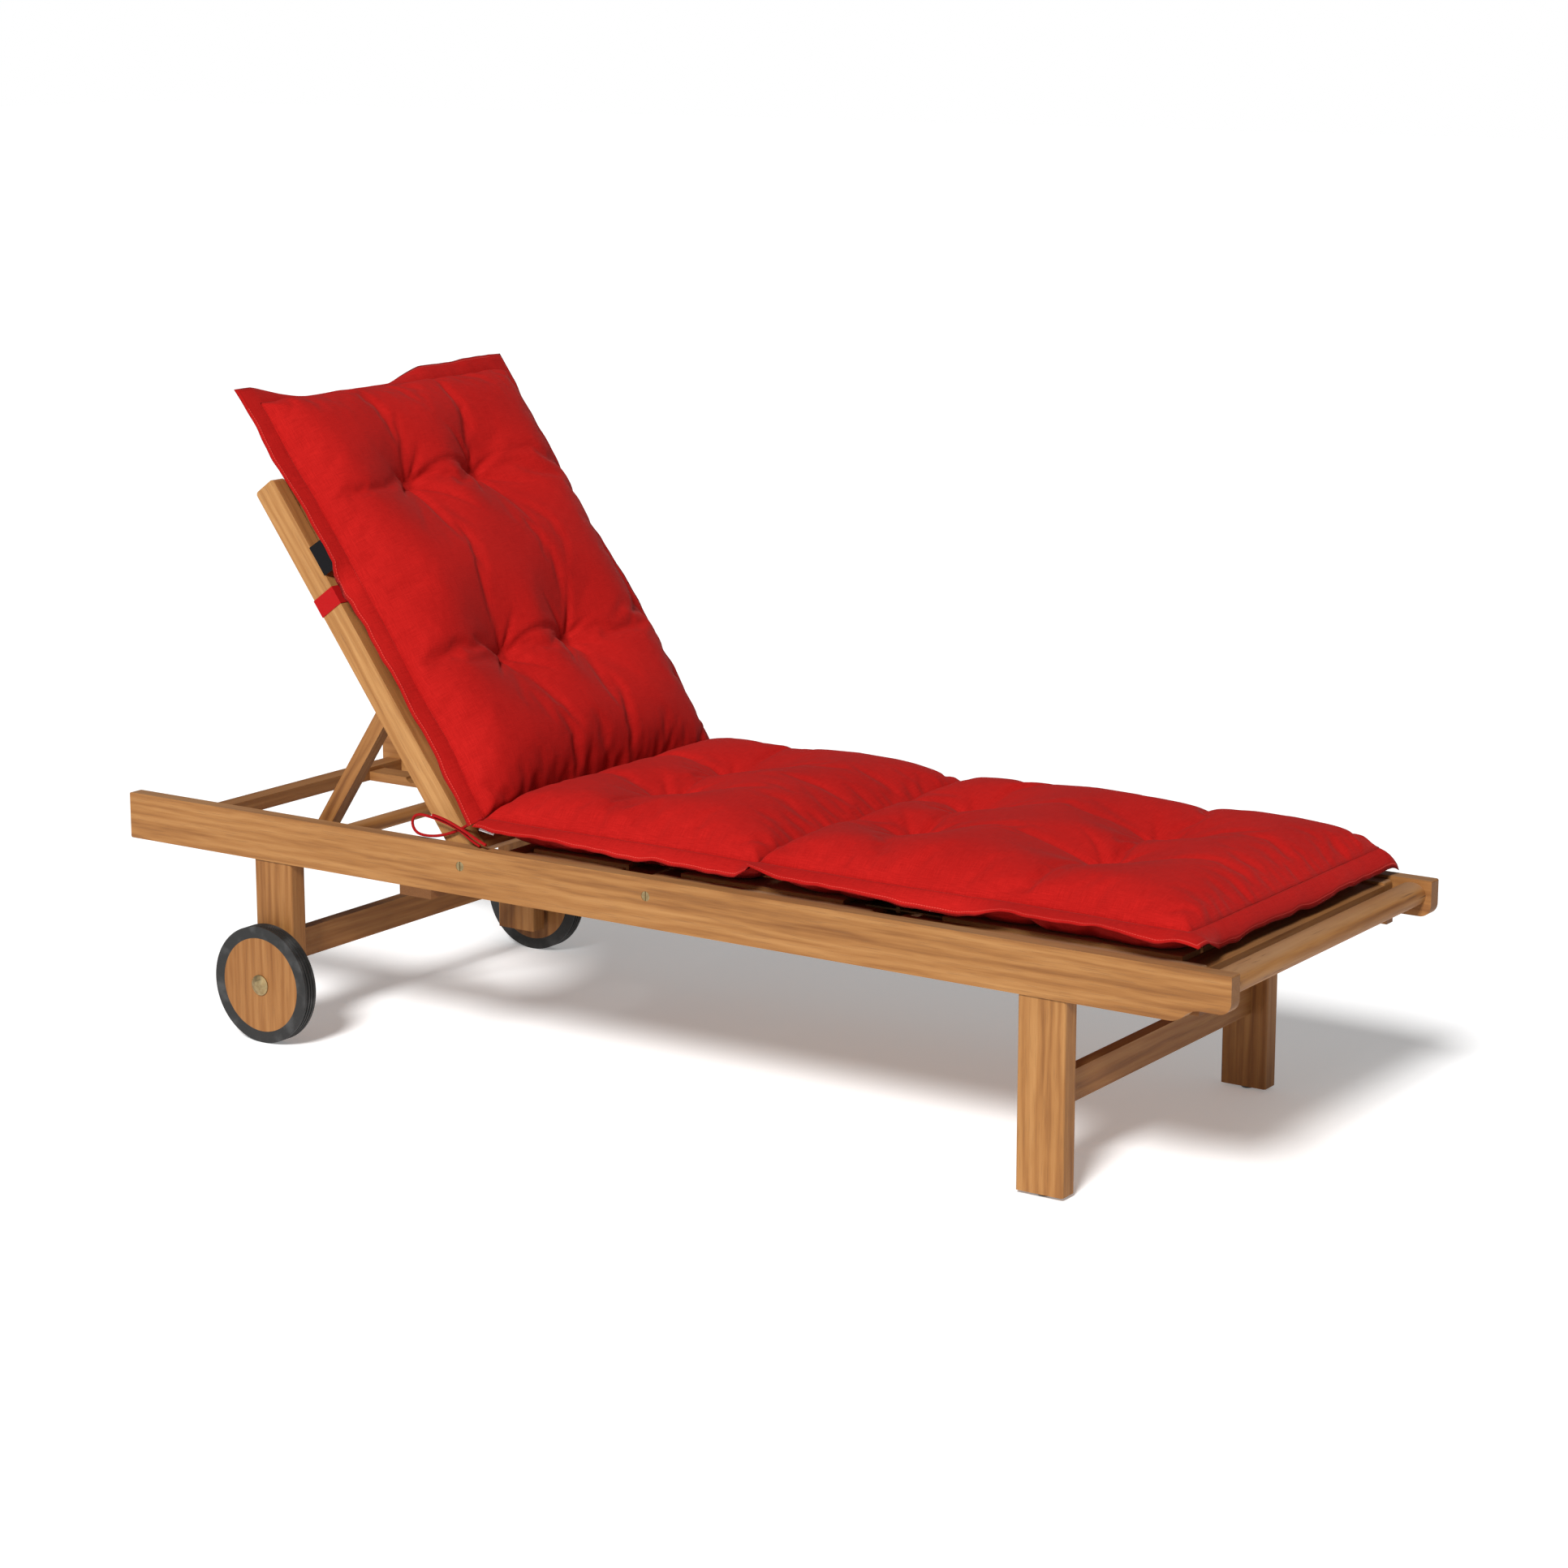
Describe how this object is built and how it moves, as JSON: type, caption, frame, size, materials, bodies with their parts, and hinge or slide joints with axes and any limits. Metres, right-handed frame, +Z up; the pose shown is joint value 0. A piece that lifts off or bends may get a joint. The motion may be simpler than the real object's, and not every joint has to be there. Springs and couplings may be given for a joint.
{
  "type": "reclining sun lounger",
  "caption": "Slatted teak sun lounger with a rack-propped backrest, hinged leg section, wheels under the head end and a tied-on tufted cushion.",
  "frame": {"origin": "middle of the footprint, on the ground", "axes": "+X from the head end to the foot end along the rails, +Y across to the far side, +Z up"},
  "size_m": [2, 0.7342, 1.0476],
  "materials": {
    "teak": "oiled, satin",
    "tyre_rubber": "matte",
    "black_plastic": "matte",
    "brass": "dull",
    "steel": "brushed",
    "red_canvas": "woven, matte",
    "red_elastic": "woven, matte",
    "red_cord": "braided, matte"
  },
  "bodies": {
    "frame": {"axle_far": "steel", "axle_near": "steel", "back_bolts": "brass", "cushion_seat": "red_canvas", "foot_glides": "black_plastic", "foot_leg_far": "teak", "foot_leg_near": "teak", "foot_stretcher": "teak", "handle_bar": "teak", "head_crossbar": "teak", "head_leg_far": "teak", "head_leg_near": "teak", "head_stretcher": "teak", "knee_bolts": "brass", "leg_ledgers": "teak", "middle_bar": "teak", "pivot_washers": "steel", "rack_far": "teak", "rack_near": "teak", "rack_support": "teak", "seat_cross_rails": "teak", "seat_slats": "teak", "seat_stiles": "teak", "side_rail_far": "teak", "side_rail_near": "teak", "tie_long_far": "red_cord", "tie_long_near": "red_cord", "tie_short_far": "red_cord", "tie_short_near": "red_cord"},
    "backrest": {"back_bottom_rail": "teak", "back_slats": "teak", "back_stile_far": "teak", "back_stile_near": "teak", "back_top_rail": "teak", "cushion_back": "red_canvas", "elastic_loops": "red_elastic", "prop_pins": "brass"},
    "prop": {"prop_leg_near": "teak", "prop_leg_far": "teak", "prop_foot_bar": "teak"},
    "thigh_panel": {"thigh_cross_rails": "teak", "thigh_hinge_leaves": "brass", "thigh_slats": "teak", "thigh_stile_far": "teak", "thigh_stile_near": "teak", "cushion_thigh": "red_canvas"},
    "calf_panel": {"calf_cross_rails": "teak", "calf_hinge_leaves": "brass", "calf_slats": "teak", "calf_stile_far": "teak", "calf_stile_near": "teak", "cushion_calf": "red_canvas"},
    "wheel_near": {"wheel_disc_near": "teak", "tyre_near": "tyre_rubber", "hub_cap_near": "brass"},
    "wheel_far": {"wheel_disc_far": "teak", "tyre_far": "tyre_rubber", "hub_cap_far": "brass"}
  },
  "joints": [
    {"name": "backrest_recline", "type": "hinge", "parent": "frame", "child": "backrest", "pos_m": [-0.314, 0, 0.334], "axis": [0, 1, 0], "range_deg": [-54, 8]},
    {"name": "prop_swing", "type": "hinge", "parent": "backrest", "child": "prop", "pos_m": [-0.48931, 0, 0.56509], "axis": [0, 1, 0], "range_deg": [-16.5, 110.4]},
    {"name": "knee_lift", "type": "hinge", "parent": "frame", "child": "thigh_panel", "pos_m": [0.036, 0, 0.337], "axis": [0, -1, 0], "range_deg": [0, 25]},
    {"name": "knee_fold", "type": "hinge", "parent": "thigh_panel", "child": "calf_panel", "pos_m": [0.4265, 0, 0.35625], "axis": [0, 1, 0], "range_deg": [0, 43.8]},
    {"name": "wheel_near_spin", "type": "hinge", "parent": "frame", "child": "wheel_near", "pos_m": [-0.698, -0.3488, 0.0946], "axis": [0, 1, 0], "continuous": true},
    {"name": "wheel_far_spin", "type": "hinge", "parent": "frame", "child": "wheel_far", "pos_m": [-0.698, 0.3488, 0.0946], "axis": [0, 1, 0], "continuous": true}
  ],
  "couplings": [
    {"joint": "prop_swing", "follows": "backrest_recline", "ratio": -2.0426},
    {"joint": "knee_fold", "follows": "knee_lift", "ratio": 1.75}
  ]
}
